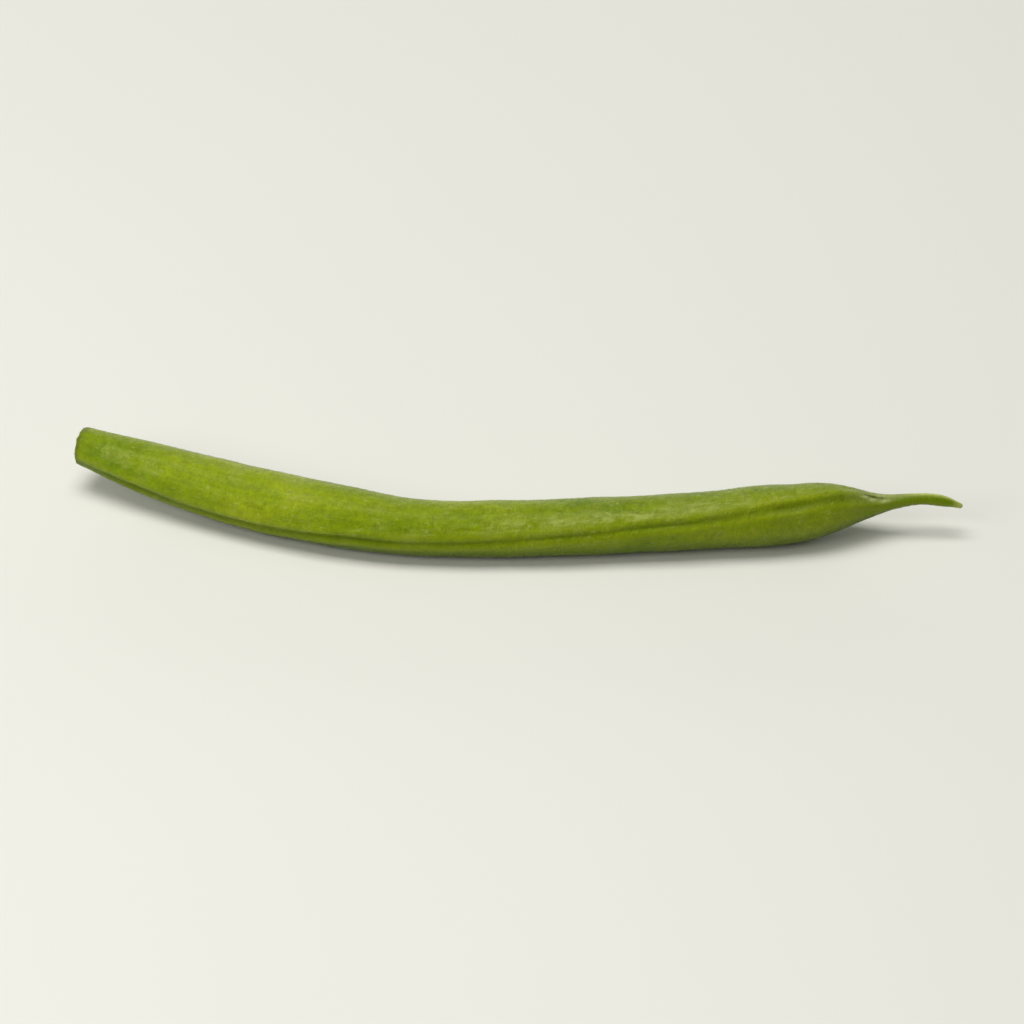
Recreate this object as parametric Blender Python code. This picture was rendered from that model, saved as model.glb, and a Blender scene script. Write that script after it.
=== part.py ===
"""Green bean: one whole pod, picked and lying on its side on a flat surface.

The pod grew as one piece, so it is one solid. Its cross-section is an oval with a shallow groove along
each of its two seams. The section is carried along a gently curved line from the snapped stem end,
through a body that swells a little over each seed, to the thin curved beak.

Frame: the pod's ends lie along X, the beak at +X, and +Z is up. The origin is under the middle of the
pod's box, on the surface that the pod lies on. Distances "along" run from the stem end, following the
pod's own curve.
"""

import bmesh
import bpy
import numpy as np

MM = 0.001

# Driving dimensions.
POD_LENGTH = 136.0 * MM
SECTION_OVAL = 1.04  # seam-to-seam half-axis over the mean one, and the mean one over the flank half-axis

# (distance along in mm, mean half-thickness in mm): neck, body, taper, beak.
GIRTH = (
    (0, 2.8), (10, 3.8), (24, 4.6), (38, 4.7), (57, 4.25), (76, 4.3), (95, 4.4), (109, 4.6),
    (115, 4.15), (119, 3.05), (122.5, 1.8), (126, 1.08), (131.5, 0.75), (136, 0.32),
)
# (distance along in mm, heading in degrees from +X towards +Y): how the pod bends in plan.
HEADING = (
    (0, -16.5), (18, -16), (34, -12.5), (46, -7.5), (58, 2.5), (72, 8), (92, 9.5), (108, 11.5),
    (120, 11), (129, 6), (136, -5),
)
# (distance along in mm, height angle in degrees of the seed seam, seen from the pod's axis).
SEAM_ANGLE = ((0, -15), (35, -9), (50, 2), (65, 12), (85, 25), (100, 39), (110, 51), (118, 59), (136, 66))

# How far the underside stands off the surface at the two ends.
STEM_LIFT = 4.0 * MM
STEM_LIFT_LENGTH = 34.0 * MM
BEAK_LIFT = 5.4 * MM
BEAK_LIFT_START = 109.0 * MM
BEAK_LIFT_END = 131.0 * MM
BEAK_DROOP = 0.5 * MM
REST_SETTLING = 0.1 * MM  # how far the soft skin flattens where it lies on the surface

# Seam relief: a groove with a low shoulder on either side of it.
GROOVE_DEPTH = 0.22 * MM
GROOVE_HALF_WIDTH = 0.32 * MM
SHOULDER_HEIGHT = 0.08 * MM
SHOULDER_OFFSET = 0.85 * MM
BACK_SEAM_SHARE = 0.55  # the back seam's relief over the seed seam's
RELIEF_FULL_FROM = 3.5 * MM  # mean half-thickness; seams and seeds fade away on thinner sections

# The seeds, which show as low swellings on the two flanks.
SEED_COUNT = 7
FIRST_SEED = 31.0 * MM
SEED_SPACING = 12.4 * MM
SEED_SWELL = 0.2 * MM
SEED_HALF_LENGTH = 4.2 * MM

# The snapped stem face: a rim of skin round slightly sunken pith.
RIM_WIDTH = 0.5 * MM
PITH_DEPTH = 0.35 * MM

# Mesh stations.
LINE_STEP = 0.1 * MM  # step of the curve that the stations are read from
BODY_RING_GAP = 2.4 * MM
BEAK_RING_GAP = 1.1 * MM
BEAK_RINGS_FROM = 108.0 * MM
SEAM_COLUMNS = np.radians((-22.0, -13.0, -6.0, 0.0, 6.0, 13.0, 22.0))
FLANK_COLUMNS = np.radians(np.arange(36.0, 145.0, 12.0))

# Finish.
SKIN_COLOUR = (0.235, 0.32, 0.022, 1.0)
SKIN_ROUGHNESS = 0.42
SHARP_EDGE_ANGLE = np.radians(50)  # only the rim and the cut face meet more sharply than this


def clear_scene():
    for scene_object in list(bpy.data.objects):
        bpy.data.objects.remove(scene_object)


def spline(knots, along):
    """The natural cubic spline through (distance in mm, value) knots, read at distances in metres."""
    x, y = np.array(knots, float).T
    gap = np.diff(x)
    bends = np.eye(len(x))
    pull = np.zeros(len(x))
    for i in range(1, len(x) - 1):
        bends[i, i - 1 : i + 2] = gap[i - 1], 2 * (gap[i - 1] + gap[i]), gap[i]
        pull[i] = 6 * ((y[i + 1] - y[i]) / gap[i] - (y[i] - y[i - 1]) / gap[i - 1])
    curve = np.linalg.solve(bends, pull)
    at = np.asarray(along) / MM
    i = np.clip(np.searchsorted(x, at) - 1, 0, len(gap) - 1)
    before, after = at - x[i], x[i + 1] - at
    return (
        (curve[i] * after**3 + curve[i + 1] * before**3) / (6 * gap[i])
        + (y[i] / gap[i] - curve[i] * gap[i] / 6) * after
        + (y[i + 1] / gap[i] - curve[i + 1] * gap[i] / 6) * before
    )


def smooth_step(share):
    """0 below 0, 1 above 1, and an even rise between."""
    t = np.clip(share, 0.0, 1.0)
    return t * t * (3 - 2 * t)


def half_axes(along):
    """Half-axes of the section: seam to seam, and flank to flank."""
    mean = spline(GIRTH, along) * MM
    return mean * SECTION_OVAL, mean / SECTION_OVAL


def underside(along):
    """Height of the pod's underside above the surface."""
    stem = STEM_LIFT * np.clip(1 - along / STEM_LIFT_LENGTH, 0, 1) ** 2
    beak = BEAK_LIFT * smooth_step((along - BEAK_LIFT_START) / (BEAK_LIFT_END - BEAK_LIFT_START))
    droop = BEAK_DROOP * np.clip((along - BEAK_LIFT_END) / (POD_LENGTH - BEAK_LIFT_END), 0, 1) ** 2
    return stem + beak - droop


def centre_line():
    """Distances along the pod, its centreline points and its sideways and upward directions there."""
    along = np.arange(0, POD_LENGTH + LINE_STEP / 2, LINE_STEP)
    heading = np.radians(spline(HEADING, along))
    seam = np.radians(spline(SEAM_ANGLE, along))
    wide, thin = half_axes(along)
    half_height = np.hypot(wide * np.sin(seam), thin * np.cos(seam))
    height = half_height + underside(along) - REST_SETTLING
    points = np.stack([np.cumsum(np.cos(heading)), np.cumsum(np.sin(heading)), height / LINE_STEP], axis=1)
    points *= LINE_STEP
    tangent = np.gradient(points, axis=0)
    tangent /= np.linalg.norm(tangent, axis=1, keepdims=True)
    side = np.cross(tangent, (0, 0, 1))
    side /= np.linalg.norm(side, axis=1, keepdims=True)
    return along, points, side, np.cross(side, tangent)


def seam_relief(offset):
    """Height of the skin at a distance across from a seam."""
    groove = -GROOVE_DEPTH * np.exp(-((offset / GROOVE_HALF_WIDTH) ** 2))
    shoulder = SHOULDER_HEIGHT * np.exp(-(((np.abs(offset) - SHOULDER_OFFSET) / GROOVE_HALF_WIDTH) ** 2))
    return groove + shoulder


def relief(along, turn, mean):
    """Height of the skin above the plain oval, for one ring. turn runs round from the seed seam."""
    fade = np.clip(mean / RELIEF_FULL_FROM, 0, 1) ** 2
    back_turn = np.pi - np.abs(turn)
    seams = seam_relief(turn * mean) + BACK_SEAM_SHARE * seam_relief(back_turn * mean)
    seeds = FIRST_SEED + SEED_SPACING * np.arange(SEED_COUNT)
    swell = SEED_SWELL * np.exp(-(((along - seeds) / SEED_HALF_LENGTH) ** 2)).sum()
    return fade * (seams + swell * np.sin(turn) ** 2)


def ring_stations():
    """Distances along of the mesh's rings, closer together on the beak."""
    body = np.linspace(0, BEAK_RINGS_FROM, round(BEAK_RINGS_FROM / BODY_RING_GAP) + 1)
    beak_length = POD_LENGTH - BEAK_RINGS_FROM
    beak = np.linspace(BEAK_RINGS_FROM, POD_LENGTH, round(beak_length / BEAK_RING_GAP) + 1)
    return np.concatenate([body, beak[1:]])


def column_turns():
    """Angles round the section from the seed seam, closest together at the two seams."""
    back_seam = SEAM_COLUMNS + np.pi
    turns = np.concatenate([SEAM_COLUMNS, FLANK_COLUMNS, back_seam, FLANK_COLUMNS + np.pi])
    return np.sort((turns + np.pi) % (2 * np.pi) - np.pi)


def add_rings(mesh):
    """Adds one closed loop of edges for each station and returns the loops, from the stem end on."""
    line_along, line_points, line_side, line_up = centre_line()
    turns = column_turns()
    loops = []
    for along in ring_stations():
        at = min(round(along / LINE_STEP), len(line_along) - 1)
        seam = np.radians(spline(SEAM_ANGLE, along))
        wide, thin = half_axes(along)
        raised = relief(along, turns, (wide + thin) / 2)
        p = (wide + raised) * np.cos(turns)
        q = (thin + raised) * np.sin(turns)
        sideways = p * np.cos(seam) - q * np.sin(seam)
        upward = p * np.sin(seam) + q * np.cos(seam)
        ring = line_points[at] + np.outer(sideways, line_side[at]) + np.outer(upward, line_up[at])
        ring[:, 2] = np.maximum(ring[:, 2], 0)
        corners = [mesh.verts.new(point) for point in ring]
        loops.append([mesh.edges.new(pair) for pair in zip(corners, corners[1:] + corners[:1])])
    return loops


def close_ends(mesh, loops):
    """Closes the beak's tip, and gives the stem end its rim and sunken pith."""
    for edges in (loops[0], loops[-1]):
        bmesh.ops.contextual_create(mesh, geom=edges)
    bmesh.ops.recalc_face_normals(mesh, faces=mesh.faces)
    stem_face = min(mesh.faces, key=lambda face: face.calc_center_median().x)
    bmesh.ops.inset_region(mesh, faces=[stem_face], thickness=RIM_WIDTH, depth=-PITH_DEPTH)


def centre_on_origin(mesh):
    """Moves the pod so that the middle of its box in plan is over the origin."""
    places = np.array([corner.co for corner in mesh.verts])
    middle = (places.min(axis=0) + places.max(axis=0)) / 2
    bmesh.ops.translate(mesh, verts=mesh.verts, vec=(-middle[0], -middle[1], 0))


def skin_material():
    material = bpy.data.materials.new("pod_skin")
    material.use_nodes = True
    shader = material.node_tree.nodes["Principled BSDF"]
    shader.inputs["Base Color"].default_value = SKIN_COLOUR
    shader.inputs["Roughness"].default_value = SKIN_ROUGHNESS
    shader.inputs["Metallic"].default_value = 0.0
    return material


def build_pod():
    mesh = bmesh.new()
    loops = add_rings(mesh)
    for first, second in zip(loops, loops[1:]):
        bmesh.ops.bridge_loops(mesh, edges=first + second)
    close_ends(mesh, loops)
    centre_on_origin(mesh)
    data = bpy.data.meshes.new("bean_pod")
    mesh.to_mesh(data)
    mesh.free()
    data.materials.append(skin_material())
    data.shade_smooth()
    data.set_sharp_from_angle(angle=SHARP_EDGE_ANGLE)
    pod = bpy.data.objects.new("bean_pod", data)
    bpy.context.scene.collection.objects.link(pod)
    return pod


clear_scene()
build_pod()
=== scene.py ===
"""Green bean: the finished skin of one whole pod, lying on a pale surface in soft studio light.

Lengths are in millimetres until a mesh is made, unless a name or a comment says otherwise. "Along" is
the distance from the snapped stem end, following the pod's own curve. "Turn" is the angle round the
section in radians: zero at the seed seam, a quarter turn on the upper flank and half a turn at the back
seam.
"""

import bpy
import numpy as np
from mathutils import Matrix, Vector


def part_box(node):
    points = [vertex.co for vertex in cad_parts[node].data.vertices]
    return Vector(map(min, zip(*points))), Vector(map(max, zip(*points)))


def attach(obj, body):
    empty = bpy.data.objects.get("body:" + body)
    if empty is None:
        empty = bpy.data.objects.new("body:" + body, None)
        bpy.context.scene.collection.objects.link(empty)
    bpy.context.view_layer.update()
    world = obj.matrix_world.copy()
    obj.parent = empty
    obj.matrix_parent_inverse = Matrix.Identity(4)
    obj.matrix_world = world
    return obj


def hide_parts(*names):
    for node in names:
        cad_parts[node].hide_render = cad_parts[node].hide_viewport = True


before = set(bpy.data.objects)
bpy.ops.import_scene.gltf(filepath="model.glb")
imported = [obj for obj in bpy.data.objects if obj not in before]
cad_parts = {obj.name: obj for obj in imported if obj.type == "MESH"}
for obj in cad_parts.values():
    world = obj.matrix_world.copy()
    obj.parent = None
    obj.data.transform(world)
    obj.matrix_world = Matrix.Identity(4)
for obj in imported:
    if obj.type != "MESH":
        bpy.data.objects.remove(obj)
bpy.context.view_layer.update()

MM = 0.001

# ---------------------------------------------------------------------------------------------------
# The pod's own sizes, the same as the solid's
# ---------------------------------------------------------------------------------------------------

POD_LENGTH = 136.0
SECTION_OVAL = 1.04  # seam-to-seam half-axis over the mean one, and the mean one over the flank half-axis
LINE_STEP = 0.1

# (along, mean half-thickness): neck, body, taper, beak.
GIRTH = (
    (0, 2.8), (10, 3.8), (24, 4.6), (38, 4.7), (57, 4.25), (76, 4.3), (95, 4.4), (109, 4.6),
    (115, 4.15), (119, 3.05), (122.5, 1.8), (126, 1.08), (131.5, 0.75), (136, 0.32),
)
# (along, heading in degrees from +X towards +Y): how the pod bends in plan.
HEADING = (
    (0, -16.5), (18, -16), (34, -12.5), (46, -7.5), (58, 2.5), (72, 8), (92, 9.5), (108, 11.5),
    (120, 11), (129, 6), (136, -5),
)
# (along, height angle in degrees of the seed seam, seen from the pod's axis).
SEAM_ANGLE = ((0, -15), (35, -9), (50, 2), (65, 12), (85, 25), (100, 39), (110, 51), (118, 59), (136, 66))

STEM_LIFT = 4.0
STEM_LIFT_LENGTH = 34.0
BEAK_LIFT = 5.4
BEAK_LIFT_START = 109.0
BEAK_LIFT_END = 131.0
BEAK_DROOP = 0.5
REST_SETTLING = 0.1

# ---------------------------------------------------------------------------------------------------
# The skin's relief
#
# A rise is (start along, length). A patch is (along, turn from the seed seam, half-length, half-width as
# a turn). A layer of ripples is (height, wavelength, seed, number of waves, squeeze of the place).
# ---------------------------------------------------------------------------------------------------

GROOVE_DEPTH = 0.18
GROOVE_HALF_WIDTH = 0.4
GROOVE_SPREAD = 0.9  # how much wider the groove is near the beak
GROOVE_WIDENS = (88.0, 22.0)
GROOVE_STRENGTH = 1.2
GROOVE_FADE = 0.45  # how much of its strength the groove loses where it is faintest
GROOVE_FADE_ALONG = 82.0
GROOVE_FADE_HALF_LENGTH = 17.0
GROOVE_UNEVENNESS = 0.28
GROOVE_UNEVEN_LENGTH = 11.0
SHOULDER_HEIGHT = 0.15
SHOULDER_OFFSET = 1.1
SHOULDER_HALF_WIDTH = 0.62
BACK_SEAM_SHARE = 0.5  # the back seam's relief over the seed seam's
SEAM_WANDER = 0.1  # how far a seam strays to either side of its line
SEAM_WANDER_LENGTH = 17.0
BACK_SEAM_WANDER_LENGTH = 21.0
SEAM_SMOOTHING = 0.7  # how much of the seams is lost at the snapped end
SEAM_SMOOTHING_LENGTH = 7.0
RELIEF_FULL_FROM = 3.5  # mean half-thickness; seams and seeds fade away on thinner sections

FIRST_SEED = 31.0
SEED_SPACING = 12.4
SEED_STRENGTHS = (0.8, 1.1, 0.75, 1.0, 1.2, 0.85, 1.15)
SEED_SHIFTS = (0.5, -0.6, 0.9, -0.3, 0.7, -0.8, 0.2)
SEED_SWELL = 0.14
SEED_HALF_LENGTH = 4.2

EVEN = (1, 1, 1)
DENTS = ((0.035, 15.0, 7, 28, EVEN), (0.02, 6.0, 8, 28, EVEN))
FINE_VEINS = ((0.005, 0.8, 11, 40, (0.1, 1, 1)),)
GRAIN = ((0.011, 1.7, 9, 40, (1.6, 1, 1)), (0.005, 0.9, 10, 40, EVEN))

NECK_RIB_HEIGHT = 0.02
NECK_RIB_COUNT = 11
NECK_RIB_TWIST = 0.05  # turn of the ribs per millimetre along
NECK_RIB_LENGTH = 6.0

BEAK_BASE = 121.0
PUCKER_HEIGHT = 0.07
PUCKER_COUNT = 9
PUCKER_HALF_LENGTH = 3.2
RIDGE_HEIGHT = 0.2
RIDGE_TURN = 0.45
RIDGE_HALF_TURN = 0.45
RIDGE_RISES = (BEAK_BASE, 5.0)
RIDGE_FULL_AT = 1.1  # mean half-thickness; the ridge is in proportion to it
HOOK_SWELL = 0.2
HOOK_ALONG = 132.8
HOOK_HALF_LENGTH = 2.1

# The scar where the flower fell: a short crease beside the seam with dry spots under it.
SCAR_SPOTS = ((122.4, -0.05, 0.75, 0.15), (124.4, -0.22, 0.8, 0.2), (121.0, 0.12, 0.5, 0.1))
SCAR_SPOT_HEIGHT = 0.08
SCAR_ALONG = 122.6
SCAR_HALF_LENGTH = 1.6
CREASE_DEPTH = 0.1
CREASE_TURN = 0.22
CREASE_DRIFT = 0.09  # how far the crease turns towards the seam per millimetre along
CREASE_HALF_TURN = 0.13

# The snapped stem end. Edges and half-widths on its face are shares of the radius.
RIM_RADIUS = 0.5
PITH_DEPTH = 0.38
PITH_EDGE = 0.84
PITH_SLOPE = 0.3
HOLLOW_DEPTH = 0.7
HOLLOW_HALF_WIDTH = 0.2
SNAP_SLANT = 0.45
SNAP_SLANT_TURN = -0.65
SNAP_REACH = 1.2  # how far along the skin is pulled with the face
TEARS = ((0.07, 1.1, 21, 28, EVEN), (0.042, 0.45, 22, 28, EVEN))

# Grid of the skin: rows along, columns round. Columns crowd together at the two seams.
CAP_ROWS = 20
RIM_ROWS = 8
BODY_ROWS = 690
TIP_ROWS = 6
COLUMNS = 132
SEAM_CROWDING = 0.55

# ---------------------------------------------------------------------------------------------------
# Where the colours lie
# ---------------------------------------------------------------------------------------------------

# The back seam's groove gets this share of the painted shade that is in the seed seam's groove.
BACK_GROOVE_SHARE = 0.6
# Painted shade on the lower flank below the seam, strongest on the stem half.
UNDER_STEM_SHARE = 1.2
UNDER_FADE = 0.5  # how much weaker the deeper lower flank is on the beak half
UNDER_FADES = (45.0, 35.0)
UNDER_START = 0.1
UNDER_SPREAD = 0.35
# Painted shade on the pod's bottom side, where it faces the floor.
LOWEST_START = 0.1
LOWEST_SPREAD = 0.7
# Painted highlight: a pale band on the upper flank above the seam, over the middle of the pod.
HIGHLIGHT_BAND_PATCH = (86.0, 0.52, 24.0, 0.26)
BEAK_GREENS = (117.0, 10.0)
# Painted shade on the beak's lower side.
BEAK_SHADE_TURN = -0.42
BEAK_SHADE_HALF_TURN = 0.42
BEAK_SHADE_RISES = (124.0, 3.0)
# Painted highlight along the beak's upper ridge.
RIDGE_HIGHLIGHT_TURN = 0.5
RIDGE_HIGHLIGHT_HALF_TURN = 0.36
RIDGE_HIGHLIGHT_RISES = (126.0, 4.0)
# Painted highlight: a pale grey-green satin sheen on top of the beak's base.
BASE_SHEEN_PATCH = (124.4, 0.45, 3.8, 0.55)
TIP_PALES = (134.0, 1.8)
# The snapped end's rim is darkened: the cut edge's own darkening, and painted shade where the rounded edge
# turns away.
DARK_RIM_LENGTH = 0.7
DARK_RIM_EDGE = 0.84
DARK_RIM_SLOPE = 0.1
PALE_FACE_EDGE = 0.93
PALE_FACE_SLOPE = 0.08
BROWN_HOLLOW_HALF_WIDTH = 0.24


def spline(knots, along):
    """The natural cubic spline through (along, value) knots: a cubic between each two knots, whose slope
    and bend carry on from one to the next, with no bend at the ends."""
    x, y = np.array(knots, float).T
    gap = np.diff(x)
    bends = np.eye(len(x))
    pull = np.zeros(len(x))
    for i in range(1, len(x) - 1):
        bends[i, i - 1 : i + 2] = gap[i - 1], 2 * (gap[i - 1] + gap[i]), gap[i]
        pull[i] = 6 * ((y[i + 1] - y[i]) / gap[i] - (y[i] - y[i - 1]) / gap[i - 1])
    curve = np.linalg.solve(bends, pull)
    at = np.asarray(along, float)
    i = np.clip(np.searchsorted(x, at) - 1, 0, len(gap) - 1)
    before, after = at - x[i], x[i + 1] - at
    return (
        (curve[i] * after**3 + curve[i + 1] * before**3) / (6 * gap[i])
        + (y[i] / gap[i] - curve[i] * gap[i] / 6) * after
        + (y[i + 1] / gap[i] - curve[i + 1] * gap[i] / 6) * before
    )


def smooth_step(share):
    """0 below 0, 1 above 1, and between them three squares less two cubes."""
    t = np.clip(share, 0.0, 1.0)
    return t * t * (3 - 2 * t)


def rise(along, span):
    """The smooth step of how much of a span is passed, the span being its start along and its length."""
    start, length = span
    return smooth_step((along - start) / length)


def bump(distance, half_width):
    """A bell: e to the minus square of distance over half_width."""
    return np.exp(-((distance / half_width) ** 2))


def patch(along, from_seam, spot):
    """A bell along the pod times a bell round it."""
    at, aside, half_length, half_turn = spot
    return bump(along - at, half_length) * bump(from_seam - aside, half_turn)


def ripples(places, length, seed, waves=28):
    """A smooth random height with unit spread: the sum of plane sine waves that run in random directions
    at random phases, with wavelengths from three quarters to one and a third of length."""
    pick = np.random.default_rng(seed)
    directions = pick.normal(size=(waves, 3))
    directions /= np.linalg.norm(directions, axis=1, keepdims=True)
    lengths = length * pick.uniform(0.75, 1.33, waves)
    phases = pick.uniform(0, 2 * np.pi, waves)
    total = np.zeros(places.shape[:-1])
    for direction, each, phase in zip(directions, lengths, phases):
        total += np.sin(places @ (2 * np.pi * direction / each) + phase)
    return total * np.sqrt(2 / waves)


def ripple_layers(places, layers):
    """The sum of layers of ripples, each times its height, over places times its squeeze."""
    total = np.zeros(places.shape[:-1])
    for height, length, seed, waves, squeeze in layers:
        total += height * ripples(places * squeeze, length, seed, waves)
    return total


def half_axes(along):
    """Half-axes of the oval section: the mean half-thickness times the oval, and over it."""
    mean = spline(GIRTH, along)
    return mean * SECTION_OVAL, mean / SECTION_OVAL


def underside(along):
    """Height of the underside: a square fall from the stem, an even rise to the beak, then a droop."""
    stem = STEM_LIFT * np.clip(1 - along / STEM_LIFT_LENGTH, 0, 1) ** 2
    beak = BEAK_LIFT * rise(along, (BEAK_LIFT_START, BEAK_LIFT_END - BEAK_LIFT_START))
    droop = BEAK_DROOP * np.clip((along - BEAK_LIFT_END) / (POD_LENGTH - BEAK_LIFT_END), 0, 1) ** 2
    return stem + beak - droop


def centre_line():
    """The pod's axis at every step along: x and y add up the heading's cosine and sine, and z is the
    section's half-height over the underside. Returns along, points, tangents, side and up directions."""
    along = np.arange(0, POD_LENGTH + LINE_STEP / 2, LINE_STEP)
    heading = np.radians(spline(HEADING, along))
    seam = np.radians(spline(SEAM_ANGLE, along))
    wide, thin = half_axes(along)
    half_height = np.hypot(wide * np.sin(seam), thin * np.cos(seam))
    height = half_height + underside(along) - REST_SETTLING
    steps = np.stack([np.cos(heading), np.sin(heading)], axis=1) * LINE_STEP
    points = np.column_stack([np.cumsum(steps, axis=0), height])
    tangent = np.gradient(points, axis=0)
    tangent /= np.linalg.norm(tangent, axis=1, keepdims=True)
    side = np.cross(tangent, (0, 0, 1))
    side /= np.linalg.norm(side, axis=1, keepdims=True)
    return along, points, tangent, side, np.cross(side, tangent)


def read_line(along, line_along, values):
    """The centre line's values at any distances along, straight between its steps."""
    return np.stack([np.interp(along, line_along, column) for column in values.T], axis=-1)


def column_turns():
    """Turns of the columns: an even sweep less half the crowding times the sine of twice the turn, which
    draws the columns in on both seams. The first column is repeated at the end, one whole turn on."""
    even = np.linspace(0, 2 * np.pi, COLUMNS + 1)
    return even - SEAM_CROWDING / 2 * np.sin(2 * even)


def skin_rows():
    """For each row of the grid: along, share of the full radius, and distance over the surface.

    The cap's rows run from the middle of the snapped face out to its rim. A quarter circle turns the rim
    over into the wall. The wall's rows run the length of the pod, and a last quarter circle closes the
    beak's tip.
    """
    neck, tip = spline(GIRTH, (0.0, POD_LENGTH))
    rim = np.radians(np.linspace(0, 90, RIM_ROWS + 1))[1:]
    end = np.radians(np.linspace(90, 0, TIP_ROWS + 1))[1:-1]
    face_share = 1 - RIM_RADIUS / neck
    wall = np.linspace(RIM_RADIUS, POD_LENGTH - tip, BODY_ROWS + 1)[1:]
    along = np.concatenate([
        np.zeros(CAP_ROWS), RIM_RADIUS * (1 - np.cos(rim)), wall, POD_LENGTH - tip + tip * np.cos(end),
    ])
    share = np.concatenate([
        face_share * np.linspace(0, 1, CAP_ROWS + 1)[1:],
        1 - RIM_RADIUS / neck * (1 - np.sin(rim)),
        np.ones(BODY_ROWS),
        np.sin(end),
    ])
    radius = share * spline(GIRTH, along)
    over = np.concatenate([[0], np.cumsum(np.hypot(np.diff(along), np.diff(radius)))])
    return along, share, over + radius[0]


def turn_from_seam(turn):
    """The turn measured both ways from the seed seam: from minus half a turn to plus half a turn."""
    return (turn + np.pi) % (2 * np.pi) - np.pi


def relief_fade(mean):
    """The square of the mean half-thickness over the least that has full relief, and 1 above it."""
    return np.clip(mean / RELIEF_FULL_FROM, 0, 1) ** 2


def groove_half_width(along):
    """The groove's half-width: even over the body, then an even rise to its widest near the beak."""
    return GROOVE_HALF_WIDTH * (1 + GROOVE_SPREAD * rise(along, GROOVE_WIDENS))


def groove_strength(along):
    """How strong the groove is: even, less a bell over the stretch where it nearly fades."""
    return GROOVE_STRENGTH - GROOVE_FADE * bump(along - GROOVE_FADE_ALONG, GROOVE_FADE_HALF_LENGTH)


def seam_relief(offset, half_width):
    """Across a seam: a bell-shaped groove between two low bell-shaped shoulders."""
    shoulder = bump(np.abs(offset) - SHOULDER_OFFSET, SHOULDER_HALF_WIDTH)
    return SHOULDER_HEIGHT * shoulder - GROOVE_DEPTH * bump(offset, half_width)


def seam_offsets(along, turn, mean):
    """Distance over the skin from each seam: the turn from it times the mean half-thickness, plus slow
    ripples along, because a seam wanders a little from its line."""
    line = np.stack([along, np.zeros_like(along), np.zeros_like(along)], axis=-1)
    wander = SEAM_WANDER * ripples(line, SEAM_WANDER_LENGTH, seed=3)
    back_wander = SEAM_WANDER * ripples(line, BACK_SEAM_WANDER_LENGTH, seed=4)
    return turn_from_seam(turn) * mean + wander, (np.pi - turn) * mean + back_wander


def seed_swelling(along, turn):
    """Bells along the pod, one over each seed, times the square of the turn's sine: full on the flanks
    and nothing at the seams."""
    total = np.zeros(np.broadcast(along, turn).shape)
    for i, (strength, shift) in enumerate(zip(SEED_STRENGTHS, SEED_SHIFTS)):
        total += strength * bump(along - (FIRST_SEED + i * SEED_SPACING + shift), SEED_HALF_LENGTH)
    return SEED_SWELL * total * np.sin(turn) ** 2


def flower_scar(along, turn):
    """The scar's dry spots, each a bell along times a bell round, and its crease, a bell across a line
    that drifts towards the seam, times a bell along."""
    from_seam = turn_from_seam(turn)
    spots = sum(patch(along, from_seam, spot) for spot in SCAR_SPOTS)
    line = CREASE_TURN - CREASE_DRIFT * (along - SCAR_ALONG)
    crease = bump(from_seam - line, CREASE_HALF_TURN) * bump(along - SCAR_ALONG, SCAR_HALF_LENGTH)
    return spots, crease


def body_relief(along, turn, mean, straight):
    """Seams of uneven depth, the seeds' swelling, slow dents and fine veins, added together and faded on
    the thin sections."""
    front, back = seam_offsets(along, turn, mean)
    half_width = groove_half_width(along)
    depth = 1 + GROOVE_UNEVENNESS * ripples(straight * (1, 0, 0), GROOVE_UNEVEN_LENGTH, seed=5)
    depth *= groove_strength(along) * (1 - SEAM_SMOOTHING * bump(along, SEAM_SMOOTHING_LENGTH))
    seams = depth * (seam_relief(front, half_width) + BACK_SEAM_SHARE * seam_relief(back, half_width))
    ripple = ripple_layers(straight, DENTS + FINE_VEINS)
    return relief_fade(mean) * (seams + seed_swelling(along, turn) + ripple)


def beak_relief(along, turn, mean):
    """Puckers round the beak's base, a sine of the turn times a bell along; a ridge, a bell round that
    rises along; the hook's swelling, a bell along; and the flower's scar."""
    pucker = PUCKER_HEIGHT * np.sin(PUCKER_COUNT * turn) * bump(along - BEAK_BASE, PUCKER_HALF_LENGTH)
    across_ridge = bump(turn_from_seam(turn) - RIDGE_TURN, RIDGE_HALF_TURN)
    ridge = RIDGE_HEIGHT * across_ridge * rise(along, RIDGE_RISES) * (mean / RIDGE_FULL_AT)
    hook = HOOK_SWELL * bump(along - HOOK_ALONG, HOOK_HALF_LENGTH)
    spots, crease = flower_scar(along, turn)
    return pucker + ridge + hook + SCAR_SPOT_HEIGHT * spots - CREASE_DEPTH * crease


def skin_relief(along, turn, mean, straight):
    """Height of the skin above the plain oval: the body's and the beak's relief, the grain, and ribs on
    the neck, which are a sine of the turn times a bell along. straight is the place on a straight pod."""
    ribs = np.sin(NECK_RIB_COUNT * turn + NECK_RIB_TWIST * along) * bump(along, NECK_RIB_LENGTH)
    body = body_relief(along, turn, mean, straight)
    return body + ripple_layers(straight, GRAIN) + NECK_RIB_HEIGHT * ribs + beak_relief(along, turn, mean)


def snapped_face(share, turn, straight):
    """How far the snapped end is pushed into the pod: a dish inside the rim, a hollow in the middle, a
    slant over the whole face, and torn ripples."""
    dish = PITH_DEPTH * smooth_step((PITH_EDGE - share) / PITH_SLOPE)
    hollow = HOLLOW_DEPTH * bump(share, HOLLOW_HALF_WIDTH)
    slant = SNAP_SLANT * share * np.cos(turn - SNAP_SLANT_TURN)
    return dish + hollow + slant + ripple_layers(straight, TEARS)


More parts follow.
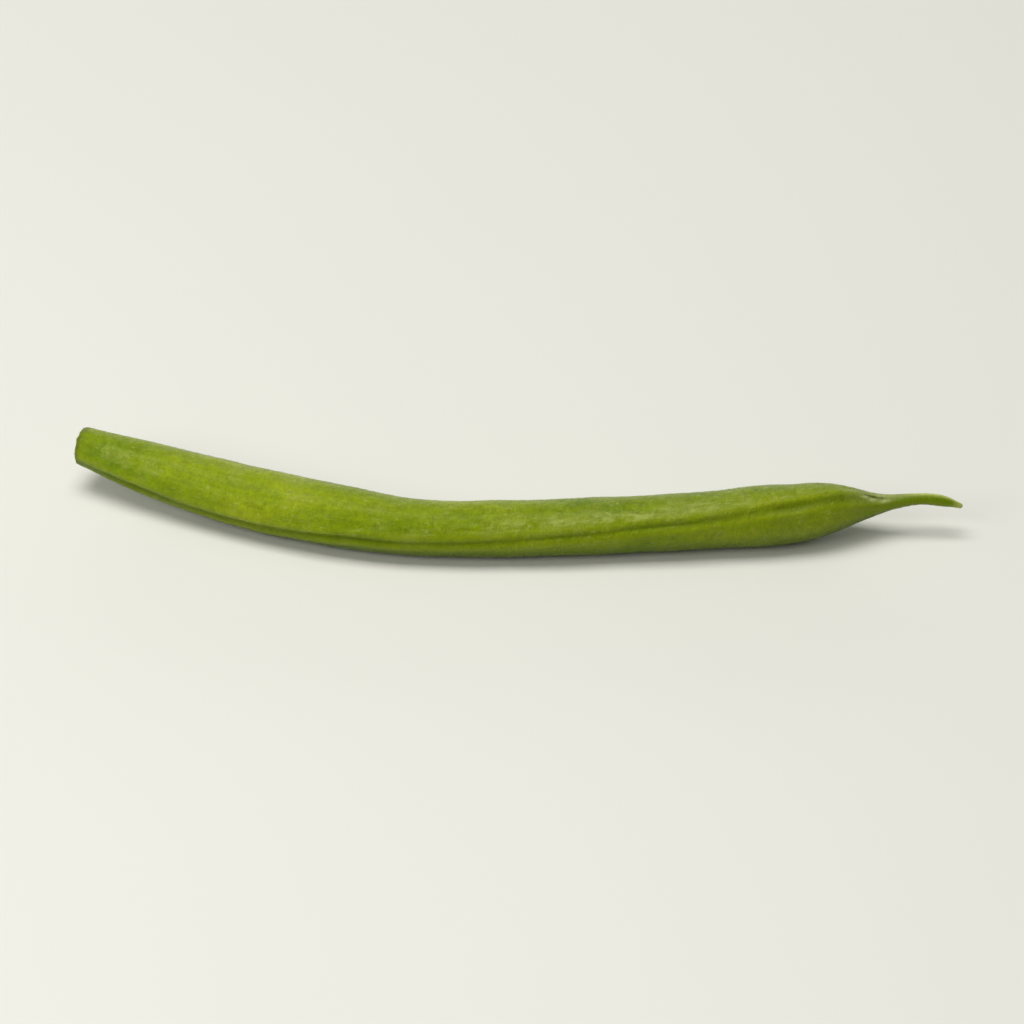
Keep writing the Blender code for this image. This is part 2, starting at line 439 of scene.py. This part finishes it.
def pod_surface():
    """The pod's skin as a grid of points, one row per step along and one column per step round.

    Each point is the centre line's place, plus the oval's height and width there, raised by the relief
    and scaled by the row's share of the radius, plus the snapped face's push along the pod. Returns the
    points and what the finish needs to know about each of them.
    """
    row_along, row_share, over = skin_rows()
    along = np.repeat(row_along[:, None], COLUMNS, axis=1)
    share = np.repeat(row_share[:, None], COLUMNS, axis=1)
    turn = np.repeat(column_turns()[None, :-1], len(row_along), axis=0)
    mean = spline(GIRTH, along)
    radius = mean * share
    straight = np.stack([over[:, None] + 0 * turn, radius * np.cos(turn), radius * np.sin(turn)], axis=-1)
    wide, thin = half_axes(along)
    raised = skin_relief(along, turn, mean, straight)
    seam = np.radians(spline(SEAM_ANGLE, along))
    p = (wide + raised) * share * np.cos(turn)
    q = (thin + raised) * share * np.sin(turn)
    sideways = p * np.cos(seam) - q * np.sin(seam)
    upward = p * np.sin(seam) + q * np.cos(seam)
    line_along, points, tangent, side, up = centre_line()
    place = read_line(along, line_along, points)
    place += sideways[..., None] * read_line(along, line_along, side)
    place += upward[..., None] * read_line(along, line_along, up)
    push = np.clip(1 - along / SNAP_REACH, 0, 1) ** 2 * snapped_face(share, turn, straight)
    place += push[..., None] * read_line(along, line_along, tangent)
    place[..., 2] = np.maximum(place[..., 2], 0)
    return place, {"along": along, "share": share, "turn": turn, "mean": mean, "straight": straight}


def finish_values(along, share, turn, mean):
    """What the finish reads on each point, from 0 to about 1: bells and even rises along the pod, round
    it and across its snapped face, multiplied together."""
    from_seam = turn_from_seam(turn)
    front, back = seam_offsets(along, turn, mean)
    half_width = groove_half_width(along)
    grooves = bump(front, half_width) + BACK_GROOVE_SHARE * bump(back, half_width)
    shoulder = bump(np.abs(front) - SHOULDER_OFFSET, SHOULDER_HALF_WIDTH)
    stem_half = along < POD_LENGTH / 2
    face = stem_half * smooth_step((PALE_FACE_EDGE - share) / PALE_FACE_SLOPE)
    seams = relief_fade(mean) * (1 - face)
    under_share = UNDER_STEM_SHARE - UNDER_FADE * rise(along, UNDER_FADES)
    below = -np.sin(turn + np.radians(spline(SEAM_ANGLE, along)))
    dark_rim = bump(along, DARK_RIM_LENGTH) * smooth_step((share - DARK_RIM_EDGE) / DARK_RIM_SLOPE)
    spots, crease = flower_scar(along, turn)
    return {
        # painted shade in the seams' grooves; the same values also dull the gloss there
        "groove": groove_strength(along) * grooves * seams,
        # painted highlight on the seam's raised shoulders
        "shoulder": shoulder * seams,
        # painted shade on the lower flank below the seam
        "under": under_share * smooth_step(UNDER_START - np.sin(turn) / UNDER_SPREAD),
        # painted shade on the bottom side, which faces the floor
        "bottom_shade": smooth_step((below + LOWEST_START) / LOWEST_SPREAD),
        # painted highlight band on the upper flank
        "highlight_band": patch(along, from_seam, HIGHLIGHT_BAND_PATCH),
        "beak": rise(along, BEAK_GREENS),
        # painted shade on the beak's lower side
        "beak_lower_shade": bump(from_seam - BEAK_SHADE_TURN, BEAK_SHADE_HALF_TURN) * rise(along, BEAK_SHADE_RISES),
        "tip": rise(along, TIP_PALES),
        # painted highlight along the beak's upper ridge
        "ridge": bump(from_seam - RIDGE_HIGHLIGHT_TURN, RIDGE_HIGHLIGHT_HALF_TURN) * rise(along, RIDGE_HIGHLIGHT_RISES),
        # painted satin highlight on top of the beak's base
        "beak_base_sheen": patch(along, from_seam, BASE_SHEEN_PATCH),
        "scar": np.minimum(spots, 1),
        "scar_crease": crease,
        # the cut edge's own darkening and painted shade on the rounded rim
        "rim": stem_half * dark_rim,
        "pith": face,
        "hollow": stem_half * bump(share, BROWN_HOLLOW_HALF_WIDTH),
    }


# ---------------------------------------------------------------------------------------------------
# Meshes
# ---------------------------------------------------------------------------------------------------


def grid_faces(rows, columns):
    """Corner numbers of the four-sided faces between the rows of a closed tube, facing outwards."""
    i = np.arange(rows - 1)[:, None] * columns
    j = np.arange(columns)[None, :]
    following = (j + 1) % columns
    corners = (i + j, i + columns + j, i + columns + following, i + following)
    return np.stack(corners, axis=-1).reshape(-1, 4)


def pole_faces(pole, ring_start, columns, flip):
    """Corner numbers of the three-sided faces from a pole to the ring that starts at ring_start."""
    j = np.arange(columns)
    fan = np.stack([np.full(columns, pole), ring_start + j, ring_start + (j + 1) % columns], axis=1)
    return fan[:, ::-1] if flip else fan


def make_mesh(name, points, quads, triangles):
    """A mesh from whole arrays of points (in metres) and of faces' corner numbers."""
    mesh = bpy.data.meshes.new(name)
    mesh.vertices.add(len(points))
    mesh.vertices.foreach_set("co", points.astype(np.float32).ravel())
    corners = np.concatenate([quads.ravel(), triangles.ravel()])
    sizes = np.concatenate([np.full(len(quads), 4), np.full(len(triangles), 3)])
    starts = np.concatenate([[0], np.cumsum(sizes)[:-1]])
    mesh.loops.add(len(corners))
    mesh.loops.foreach_set("vertex_index", corners.astype(np.int32))
    mesh.polygons.add(len(sizes))
    mesh.polygons.foreach_set("loop_start", starts.astype(np.int32))
    mesh.polygons.foreach_set("loop_total", sizes.astype(np.int32))
    mesh.update(calc_edges=True)
    mesh.validate()
    mesh.shade_smooth()
    return mesh


def with_poles(values):
    """A grid's values as one list, followed by the means of its first row and of its last."""
    flat = values.reshape(len(values) * COLUMNS, -1)
    ends = [flat[:COLUMNS].mean(axis=0), flat[-COLUMNS:].mean(axis=0)]
    return np.concatenate([flat, ends])


def add_values(mesh, name, values):
    """Stores a grid's values, one number or three to a point, on the points of its mesh."""
    stored = with_poles(values).astype(np.float32)
    kind, key = ("FLOAT_VECTOR", "vector") if stored.shape[1] == 3 else ("FLOAT", "value")
    mesh.attributes.new(name, kind, "POINT").data.foreach_set(key, stored.ravel())


def add_piece(name, mesh, material):
    """A new object at the origin, unturned and unscaled, that rides on the pod's one body."""
    piece = bpy.data.objects.new(name, mesh)
    bpy.context.scene.collection.objects.link(piece)
    mesh.materials.append(material)
    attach(piece, "root")
    return piece


# ---------------------------------------------------------------------------------------------------
# Finishes
# ---------------------------------------------------------------------------------------------------


class Finish:
    """A material under construction: adds shader nodes, wires them up and labels them."""

    def __init__(self, name):
        """Starts a new material whose one shader is the Principled one."""
        self.material = bpy.data.materials.new(name)
        self.material.use_nodes = True
        self.nodes = self.material.node_tree.nodes
        self.links = self.material.node_tree.links
        self.shader = self.nodes["Principled BSDF"]

    def add(self, kind, label, inputs, output=0, **settings):
        """Adds a node, sets its settings and inputs (a number, a colour or another node's output)."""
        node = self.nodes.new("ShaderNode" + kind)
        node.label = label
        for key, value in settings.items():
            setattr(node, key, value)
        for key, value in inputs.items():
            self.put(node.inputs[key], value)
        return node.outputs[output]

    def put(self, socket, value):
        """Gives a socket a value, or links another node's output to it."""
        if isinstance(value, bpy.types.NodeSocket):
            self.links.new(value, socket)
        else:
            socket.default_value = value

    def shade(self, name, value):
        """Gives the shader's own socket of this name a value, or links another node's output to it."""
        self.put(self.shader.inputs[name], value)

    def value(self, name):
        """A number stored on the mesh's points."""
        return self.add("Attribute", name, {}, output="Fac", attribute_name=name)

    def vector(self, name):
        """Three numbers stored on the mesh's points."""
        return self.add("Attribute", name, {}, output="Vector", attribute_name=name)

    def noise(self, place, label, scale, detail, roughness=0.5, stretch=None):
        """Cloudy noise over a place, which can be stretched by three factors first."""
        if stretch:
            place = self.add("Mapping", label, {"Vector": place, "Scale": stretch})
        inputs = {"Vector": place, "Scale": scale, "Detail": detail, "Roughness": roughness}
        return self.add("TexNoise", label, inputs)

    def spots(self, place, label, scale):
        """Distance to the nearest of many scattered spots."""
        return self.add("TexVoronoi", label, {"Vector": place, "Scale": scale}, output="Distance")

    def remap(self, value, source, target, label, smooth=False):
        """Carries a range of values onto another, evenly or as a smooth step, and holds it at its ends."""
        inputs = {"Value": value, "From Min": source[0], "From Max": source[1]}
        inputs.update({"To Min": target[0], "To Max": target[1]})
        kind = "SMOOTHSTEP" if smooth else "LINEAR"
        return self.add("MapRange", label, inputs, interpolation_type=kind, clamp=True)

    def times(self, first, second, label):
        """First times second."""
        return self.add("Math", label, {0: first, 1: second}, operation="MULTIPLY")

    def plus(self, first, second, label):
        """First plus second."""
        return self.add("Math", label, {0: first, 1: second}, operation="ADD")

    def mix(self, share, first, second, label):
        """Mixes two colours: the second one by this share, and the first one by the rest."""
        inputs = {0: share, 6: first, 7: second}  # the mixing node's colour sockets go by number
        settings = {"data_type": "RGBA", "blend_type": "MIX", "clamp_factor": True}
        return self.add("Mix", label, inputs, output=2, **settings)

    def tint(self, colour, name, share, tone):
        """Mixes a tone into a colour by this share of the values stored under a name."""
        return self.mix(self.times(self.value(name), share, name), colour, tone, name)

    def brighten(self, colour, factor, label):
        """Multiplies a colour by a number from a pattern."""
        return self.add("VectorMath", label, {0: colour, "Scale": factor}, operation="SCALE")


def linear(red, green, blue):
    """Linear colour, with full alpha, from sRGB parts out of 255."""
    part = np.array([red, green, blue]) / 255
    value = np.where(part <= 0.04045, part / 12.92, ((part + 0.055) / 1.055) ** 2.4)
    return (*value, 1.0)


DEEP_GREEN = linear(96, 124, 0)
MID_GREEN = linear(126, 147, 5)
YELLOW_GREEN = linear(147, 162, 20)
GREY_GREEN = linear(146, 160, 62)
PALE_GREEN = linear(178, 190, 100)
# painted shade on the lower flank
UNDER_SHADE_GREEN = linear(104, 124, 0)
# painted shade on the bottom side
BOTTOM_SHADE_GREEN = linear(66, 86, 0)
# painted shade in the seams' grooves
GROOVE_SHADE_GREEN = linear(78, 96, 0)
BEAK_GREEN = linear(112, 132, 14)
# painted highlight on the beak's ridge
RIDGE_HIGHLIGHT_GREEN = linear(206, 214, 122)
# painted satin highlight on the beak's base
BASE_SHEEN_GREEN = linear(172, 182, 118)
SCAR_DARK = linear(60, 74, 8)
SCAR_PALE = linear(200, 206, 140)
TIP_PALE = linear(178, 184, 104)
SPECK_BROWN = linear(92, 76, 28)
PITH_PALE = linear(196, 204, 142)
PITH_WHITE = linear(228, 230, 196)
HOLLOW_BROWN = linear(92, 74, 34)
# the rim's darkening, partly painted shade
RIM_OLIVE_AND_SHADE = linear(92, 98, 30)

GRAIN_GLOSS = MOTTLE_GLOSS = (0.19, 0.11)  # roughness, from a pattern's low places to its high ones
GROOVE_DULLNESS = 0.12
PITH_DULLNESS = 0.35
SKIN_SHADER = {
    "Subsurface Weight": 0.12,
    "Subsurface Radius": (0.8, 1.0, 0.25),
    "Subsurface Scale": 0.0009,
    "IOR": 1.45,
    "Specular IOR Level": 0.32,
    "Specular Tint": linear(236, 244, 130),
    "Sheen Weight": 0.1,
    "Sheen Roughness": 0.2,
    "Sheen Tint": linear(226, 236, 140),
    "Coat Weight": 0.05,
    "Coat Roughness": 0.2,
}

FLOOR_COLOURS = ((0.82, 0.823, 0.765, 1.0), (0.85, 0.852, 0.795, 1.0))
FLOOR_ROUGHNESS = 0.6


def skin_greens(f, place):
    """The skin's own greens: a slow drift, clouds, mottles, a dull bloom that is raised into a painted
    highlight on the upper flank, cross grain and long veins, and painted light that makes the stem half
    lighter than the beak half. Returns the colour and two patterns for the gloss."""
    drift = f.noise(place, "slow drift", scale=0.08, detail=2.0, stretch=(0.6, 1, 1))
    drift = f.remap(drift, (0.36, 0.66), (0, 1), "drift share", smooth=True)
    colour = f.mix(drift, DEEP_GREEN, YELLOW_GREEN, "slow drift")
    cloud = f.noise(place, "clouds", scale=0.33, detail=4.0, roughness=0.62, stretch=(0.45, 0.9, 0.9))
    cloud = f.remap(cloud, (0.36, 0.62), (0.2, 0.9), "cloud share", smooth=True)
    colour = f.mix(cloud, colour, MID_GREEN, "clouds")
    mottle = f.noise(place, "mottle", scale=0.95, detail=4.0, roughness=0.66, stretch=(0.8, 1, 1))
    colour = f.brighten(colour, f.remap(mottle, (0.3, 0.7), (0.82, 1.18), "mottle shade"), "mottle")
    bloom = f.noise(place, "bloom", scale=0.22, detail=3.0, roughness=0.6)
    # painted highlight: the bloom is raised in the band on the upper flank
    bloom = f.plus(bloom, f.times(f.value("highlight_band"), 0.18, "highlight band"), "bloom")
    bloom = f.remap(bloom, (0.5, 0.74), (0, 0.5), "bloom share", smooth=True)
    colour = f.mix(bloom, colour, GREY_GREEN, "bloom")
    grain = f.noise(place, "cross grain", scale=1.9, detail=4.0, roughness=0.66, stretch=(1.5, 0.85, 0.85))
    colour = f.brighten(colour, f.remap(grain, (0.3, 0.72), (0.86, 1.14), "grain shade"), "cross grain")
    along = f.add("SeparateXYZ", "along", {"Vector": place}, output="X")
    # painted light: the stem half is lightened and the beak half darkened a little
    stem_light = f.remap(along, (20.0, 105.0), (1.1, 0.97), "painted light on stem half", smooth=True)
    colour = f.brighten(colour, stem_light, "painted light on stem half")
    veins = f.noise(place, "long veins", scale=2.1, detail=2.0, stretch=(0.09, 1, 1))
    colour = f.brighten(colour, f.remap(veins, (0.36, 0.64), (0.95, 1.05), "vein shade"), "long veins")
    return colour, grain, mottle


def skin_wear(f, place, colour):
    """Pale marks over the greens: short scuffs in scattered places, thickest in the band on the upper
    flank where the highlight is painted, and pale streaks there that paint the highlight. Returns the
    colour and the scuffs."""
    highlight_band = f.value("highlight_band")
    streak = f.noise(place, "scuffs", scale=2.3, detail=3.0, roughness=0.6, stretch=(0.5, 1.15, 1.15))
    streak = f.remap(streak, (0.5, 0.74), (0, 1), "scuffs", smooth=True)
    often = f.noise(place, "scuffed places", scale=0.3, detail=3.0)
    # more scuffs in the painted highlight band
    often = f.plus(often, f.times(highlight_band, 0.18, "highlight band"), "scuffed places")
    often = f.remap(often, (0.44, 0.68), (0, 0.9), "scuffed places", smooth=True)
    scuffs = f.times(streak, often, "scuffs")
    colour = f.mix(f.times(scuffs, 0.8, "scuff share"), colour, PALE_GREEN, "pale scuffs")
    # painted highlight: pale streaks in the band on the upper flank
    highlight_streaks = f.noise(place, "painted highlight streaks", scale=0.95, detail=4.0, roughness=0.7, stretch=(0.35, 1, 1))
    highlight_streaks = f.times(f.remap(highlight_streaks, (0.46, 0.66), (0, 1), "painted highlight streaks", smooth=True), highlight_band, "painted highlight streaks")
    return f.mix(f.times(highlight_streaks, 0.75, "painted highlight share"), colour, PALE_GREEN, "painted highlight streaks"), scuffs


def part_colours(f, place, colour):
    """Lays the colours of the pod's parts over the skin's: painted shade on the lower flank, on the bottom
    side and in the seams' grooves, a painted highlight on the seams' shoulders, the beak with painted
    shade on its lower side and painted highlights on its ridge and base, its scar, a few brown specks, and
    the snapped face with its rim darkened partly by painted shade, and its brown hollow."""
    # painted shade on the lower flank below the seam
    colour = f.tint(colour, "under", 0.45, UNDER_SHADE_GREEN)
    # painted shade on the bottom side, which faces the floor
    colour = f.tint(colour, "bottom_shade", 0.7, BOTTOM_SHADE_GREEN)
    # painted highlight: the seam's raised shoulders are lightened to yellow-green
    colour = f.tint(colour, "shoulder", 0.35, YELLOW_GREEN)
    # painted shade in the seams' grooves
    colour = f.tint(colour, "groove", 0.5, GROOVE_SHADE_GREEN)

    colour = f.tint(colour, "beak", 0.75, BEAK_GREEN)
    # painted shade: the beak's lower side is darkened to deep green
    colour = f.tint(colour, "beak_lower_shade", 0.6, DEEP_GREEN)
    colour = f.tint(colour, "tip", 0.85, TIP_PALE)
    # painted highlight along the beak's upper ridge
    colour = f.tint(colour, "ridge", 0.9, RIDGE_HIGHLIGHT_GREEN)
    # painted satin highlight on top of the beak's base
    colour = f.tint(colour, "beak_base_sheen", 0.75, BASE_SHEEN_GREEN)
    edge = f.noise(place, "ragged edges", scale=1.1, detail=4.0, roughness=0.65)
    ragged = f.remap(edge, (0.34, 0.62), (0.6, 1.4), "scar edge")
    colour = f.tint(colour, "scar_crease", ragged, SCAR_DARK)
    colour = f.tint(colour, "scar", f.times(ragged, 0.7, "scar share"), SCAR_PALE)

    speck = f.remap(f.spots(place, "specks", scale=0.14), (0.02, 0.05), (0.6, 0), "specks", smooth=True)
    colour = f.mix(speck, colour, SPECK_BROWN, "brown specks")

    # the cut edge's own darkening and painted shade on the rounded rim
    colour = f.tint(colour, "rim", f.remap(edge, (0.3, 0.62), (0.25, 1.15), "rim edge"), RIM_OLIVE_AND_SHADE)
    fibres = f.noise(place, "torn pith", scale=4.2, detail=3.0, roughness=0.6, stretch=(0.4, 1, 1))
    fibres = f.remap(fibres, (0.36, 0.66), (0, 1), "pith share", smooth=True)
    colour = f.mix(f.value("pith"), colour, f.mix(fibres, PITH_PALE, PITH_WHITE, "pith"), "snapped face")
    return f.mix(f.value("hollow"), colour, HOLLOW_BROWN, "hollow")


def pod_finish():
    """Satin pod skin: mottled greens with painted shade in the seams and on the lower flank, painted
    highlights on the upper flank and on the beak's ridge, a pale-tipped beak and a pale snapped end. The
    grain and mottles also vary the gloss, and with pores and scuffs they make the finest relief."""
    f = Finish("pod_skin_finish")
    place = f.vector("pod_place")
    colour, grain, mottle = skin_greens(f, place)
    colour, scuffs = skin_wear(f, place, colour)
    f.shade("Base Color", part_colours(f, place, colour))

    grain_gloss = f.remap(grain, (0.3, 0.7), GRAIN_GLOSS, "grain gloss")
    rough = f.plus(grain_gloss, f.remap(mottle, (0.35, 0.65), MOTTLE_GLOSS, "mottle gloss"), "satin")
    rough = f.plus(rough, f.times(f.value("groove"), GROOVE_DULLNESS, "dull groove"), "dull groove")
    rough = f.plus(rough, f.times(f.value("pith"), PITH_DULLNESS, "dull pith"), "dull pith")
    f.shade("Roughness", rough)

    pores = f.noise(place, "pores", scale=3.4, detail=4.0, roughness=0.6, stretch=(1.7, 1, 1))
    height = f.plus(f.times(mottle, 0.8, "mottle height"), grain, "mottle and grain")
    height = f.plus(height, f.times(pores, 0.5, "pore height"), "grain and pores")
    height = f.plus(height, f.times(scuffs, 0.25, "scuff height"), "all relief")
    relief = {"Strength": 0.9, "Distance": 0.0002, "Height": height}
    f.shade("Normal", f.add("Bump", "skin relief", relief))

    for name, value in SKIN_SHADER.items():
        f.shade(name, value)
    return f.material


def floor_finish():
    """Smooth pale surface with the faintest cloudiness."""
    f = Finish("pale_surface")
    place = f.add("TexCoord", "place", {}, output="Object")
    share = f.remap(f.noise(place, "cloud", scale=3.0, detail=3.0), (0.3, 0.7), (0, 1), "cloud share")
    f.shade("Base Color", f.mix(share, *FLOOR_COLOURS, "cloud"))
    f.shade("Roughness", FLOOR_ROUGHNESS)
    return f.material


# ---------------------------------------------------------------------------------------------------
# Pieces
# ---------------------------------------------------------------------------------------------------

POLE_ROOM = 0.2  # room along the map for the fan of faces at either end
MAP_EDGE = 0.01
BAND_HEIGHT = 0.48
UPPER_BAND = 0.5  # how far the upper band lies above the lower one


def bake_map(mesh, over):
    """A flat map of the skin in two bands, the stem half below and the beak half above: the distance along
    runs across the map, and the turn runs up each band."""
    rows = len(over)
    half = rows // 2
    turn = column_turns() / (2 * np.pi)
    start, middle, end = over[0] - POLE_ROOM, over[half], over[-1] + POLE_ROOM

    def place(along, round_share, upper):
        """Across the map goes the share of the band's length that is passed, and up it goes the share of
        the turn, from the bottom of the band."""
        across = np.where(upper, (along - middle) / (end - middle), (along - start) / (middle - start))
        up = MAP_EDGE + BAND_HEIGHT * round_share + UPPER_BAND * upper
        return np.stack([MAP_EDGE + (1 - 2 * MAP_EDGE) * across, up], axis=-1)

    i = np.repeat(np.arange(rows - 1), COLUMNS)
    j = np.tile(np.arange(COLUMNS), rows - 1)
    upper = i >= half
    quad = np.stack([
        place(over[i], turn[j], upper), place(over[i + 1], turn[j], upper),
        place(over[i + 1], turn[j + 1], upper), place(over[i], turn[j + 1], upper),
    ], axis=1)

    before, after = turn[:-1], turn[1:]
    each = np.ones(COLUMNS)
    no, yes = np.zeros(COLUMNS, bool), np.ones(COLUMNS, bool)
    first = np.stack([
        place(start * each, (before + after) / 2, no), place(over[0] * each, before, no),
        place(over[0] * each, after, no),
    ], axis=1)
    last = np.stack([
        place(over[-1] * each, after, yes), place(over[-1] * each, before, yes),
        place(end * each, (before + after) / 2, yes),
    ], axis=1)
    corners = np.concatenate([quad.reshape(-1, 2), first.reshape(-1, 2), last.reshape(-1, 2)])
    layer = mesh.uv_layers.new(name="OFBake")
    layer.uv.foreach_set("vector", corners.astype(np.float32).ravel())


def pod_shift(place):
    """The step that brings the middle of the pod's box in plan onto the solid's."""
    low, high = (np.array(corner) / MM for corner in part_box("bean_pod"))
    middle = (place.reshape(-1, 3).min(axis=0) + place.reshape(-1, 3).max(axis=0)) / 2
    shift = (low + high) / 2 - middle
    return shift * (1, 1, 0)


def pod_skin():
    """The whole pod as one closed surface, with what its finish reads stored on its points."""
    place, at = pod_surface()
    rows = len(place)
    count = rows * COLUMNS
    fans = [pole_faces(count, 0, COLUMNS, False), pole_faces(count + 1, count - COLUMNS, COLUMNS, True)]
    points = with_poles(place + pod_shift(place)) * MM
    mesh = make_mesh("green_bean_skin", points, grid_faces(rows, COLUMNS), np.concatenate(fans))
    add_values(mesh, "pod_place", at["straight"])
    for name, values in finish_values(at["along"], at["share"], at["turn"], at["mean"]).items():
        add_values(mesh, name, values)
    bake_map(mesh, at["straight"][:, 0, 0])
    piece = add_piece("green_bean_skin", mesh, pod_finish())
    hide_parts("bean_pod")


FLOOR_HALF_WIDTH = 2.0  # in metres


def add_floor():
    """One flat square under the pod, level with the surface that it lies on."""
    half = FLOOR_HALF_WIDTH
    corners = [(-half, -half, 0), (half, -half, 0), (half, half, 0), (-half, half, 0)]
    mesh = bpy.data.meshes.new("pale_surface")
    mesh.from_pydata(corners, [], [(0, 1, 2, 3)])
    mesh.materials.append(floor_finish())
    floor = bpy.data.objects.new("pale_surface", mesh)
    bpy.context.scene.collection.objects.link(floor)


# ---------------------------------------------------------------------------------------------------
# Camera and light, in metres
# ---------------------------------------------------------------------------------------------------

CAMERA_TURN = np.radians(5.6)
CAMERA_RISE = np.radians(38.0)
CAMERA_DISTANCE = 0.575
LENS = 135.0
SENSOR_WIDTH = 36.0
NEAREST_SEEN = 0.01
AIM = np.array([0.0, 0.0, 0.004])

# Name, place, (width, height), power in watts, colour.
SOFTBOXES = (
    ("key_softbox", (-0.2, 0.04, 1.0), (0.8, 0.52), 7.4, (1.0, 0.985, 0.955)),
    ("left_softbox", (-0.42, -0.38, 0.4), (0.4, 0.3), 1.35, (1.0, 0.99, 0.96)),
    ("rim_softbox", (0.0, 1.0, 0.2), (1.5, 0.2), 1.7, (1.0, 0.985, 0.95)),
)
STUDIO_COLOUR = (1.0, 0.995, 0.975, 1.0)
STUDIO_STRENGTH = 0.2


def direction(turn, rise_above):
    """Unit vector towards a place seen at this turn from -Y towards +X, and this rise above level."""
    level = np.cos(rise_above)
    return np.array([np.sin(turn) * level, -np.cos(turn) * level, np.sin(rise_above)])


def look_at(thing, place, aim, right):
    """Places a camera or a light, points its -Z at aim and lays its X as near to right as it can."""
    back = (place - aim) / np.linalg.norm(place - aim)
    across = right - back * (right @ back)
    across /= np.linalg.norm(across)
    turned = Matrix(np.column_stack([across, np.cross(back, across), back]).tolist())
    thing.location = place
    thing.rotation_euler = turned.to_euler()


def add_camera():
    """A long lens, held level, that looks down at the pod's middle from in front of it."""
    data = bpy.data.cameras.new("camera")
    data.lens = LENS
    data.sensor_width = SENSOR_WIDTH
    data.clip_start = NEAREST_SEEN
    camera = bpy.data.objects.new("camera", data)
    right = direction(CAMERA_TURN + np.pi / 2, 0.0)
    look_at(camera, AIM + CAMERA_DISTANCE * direction(CAMERA_TURN, CAMERA_RISE), AIM, right)
    bpy.context.scene.collection.objects.link(camera)
    bpy.context.scene.camera = camera


def add_softbox(name, place, size, power, colour):
    """A rectangle of light at a place, turned towards the pod's middle."""
    data = bpy.data.lights.new(name, "AREA")
    data.shape = "RECTANGLE"
    data.size, data.size_y = size
    data.energy = power
    data.color = colour
    light = bpy.data.objects.new(name, data)
    look_at(light, np.array(place), AIM, np.array([1.0, 0.0, 0.0]))
    bpy.context.scene.collection.objects.link(light)


def add_light():
    """The softboxes, and a dim studio that is the same all round."""
    for softbox in SOFTBOXES:
        add_softbox(*softbox)
    world = bpy.data.worlds.new("studio")
    world.use_nodes = True
    background = world.node_tree.nodes["Background"]
    background.inputs["Color"].default_value = STUDIO_COLOUR
    background.inputs["Strength"].default_value = STUDIO_STRENGTH
    bpy.context.scene.world = world


pod_skin()
add_floor()
add_camera()
add_light()
bpy.context.scene.view_settings.view_transform = "Standard"
